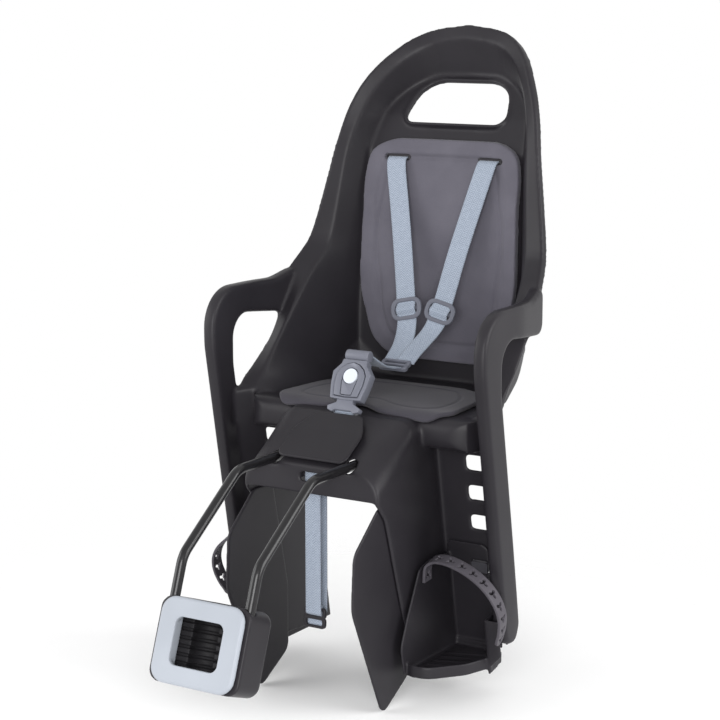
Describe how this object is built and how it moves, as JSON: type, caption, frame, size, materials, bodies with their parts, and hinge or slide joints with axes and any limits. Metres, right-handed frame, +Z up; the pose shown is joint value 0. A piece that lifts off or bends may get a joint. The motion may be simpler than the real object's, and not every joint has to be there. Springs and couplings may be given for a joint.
{
  "type": "child bike seat",
  "caption": "Frame-mounted rear child bike seat: moulded shell with rolled rim, arm loops, harness and sliding foot trays, carried by a bent bar on a seat tube block.",
  "frame": {"origin": "Middle of the seat tube clamp, on the seat tube's axis.", "axes": "+Z up on the bike, +Y backwards, +X to the child's left."},
  "size_m": [0.3926, 0.598, 0.7462],
  "materials": {
    "shell_plastic": "fine-grained satin",
    "back_foam": "moulded foam, matte",
    "seat_foam": "moulded foam, matte",
    "cover_plastic": "satin",
    "bar_steel": "gloss black powder coat",
    "block_plastic": "glass-filled, satin",
    "screw_steel": "zinc plated",
    "plate_metal": "silver grey satin paint",
    "liner_rubber": "ribbed, matte",
    "plate_plastic": "satin",
    "webbing": "woven polyester",
    "harness_plastic": "satin",
    "buckle_plastic": "satin",
    "button_plastic": "smooth",
    "foot_plastic": "fine-grained satin",
    "strap_rubber": "smooth, matte"
  },
  "bodies": {
    "mount": {"block_housing": "block_plastic", "block_front_plate": "plate_metal", "clamp_liner": "liner_rubber", "clamp_bolts": "screw_steel", "holding_bar": "bar_steel"},
    "seat": {"seat_shell": "shell_plastic", "back_pad": "back_foam", "seat_pad": "seat_foam", "pommel_cover": "cover_plastic", "bar_bracket": "block_plastic", "bracket_screws": "screw_steel", "shoulder_strap_left": "webbing", "shoulder_strap_right": "webbing", "strap_anchors": "harness_plastic", "strap_slider_left": "harness_plastic", "strap_slider_right": "harness_plastic", "strap_joiner": "harness_plastic", "joiner_strap": "webbing", "buckle_body": "buckle_plastic", "crotch_strap": "webbing", "safety_strap": "webbing", "safety_strap_buckle": "harness_plastic", "wheel_guard_left": "foot_plastic", "wheel_guard_right": "foot_plastic"},
    "foot_tray_left": {"footrest_left": "foot_plastic", "foot_strap_left": "strap_rubber", "footrest_latch_left": "plate_plastic"},
    "foot_tray_right": {"footrest_right": "foot_plastic", "foot_strap_right": "strap_rubber", "footrest_latch_right": "plate_plastic"},
    "harness_button": {"buckle_button": "button_plastic"},
    "bar_release": {"release_button": "plate_plastic"}
  },
  "joints": [
    {"name": "seat_slide", "type": "slide", "parent": "mount", "child": "seat", "axis": [0, 1, 0], "range_m": [-0.025, 0.025]},
    {"name": "tray_left_slide", "type": "slide", "parent": "seat", "child": "foot_tray_left", "axis": [0, -0.1822, 0.9833], "range_m": [0, 0.062]},
    {"name": "tray_right_slide", "type": "slide", "parent": "seat", "child": "foot_tray_right", "axis": [0, -0.1822, 0.9833], "range_m": [0, 0.062]},
    {"name": "harness_press", "type": "slide", "parent": "seat", "child": "harness_button", "axis": [0, 0.8748, -0.4845], "range_m": [0, 0.003], "stiffness_N_per_m": 1500},
    {"name": "release_press", "type": "slide", "parent": "mount", "child": "bar_release", "axis": [0, -0.9397, 0.342], "range_m": [0, 0.0035], "stiffness_N_per_m": 2000}
  ]
}
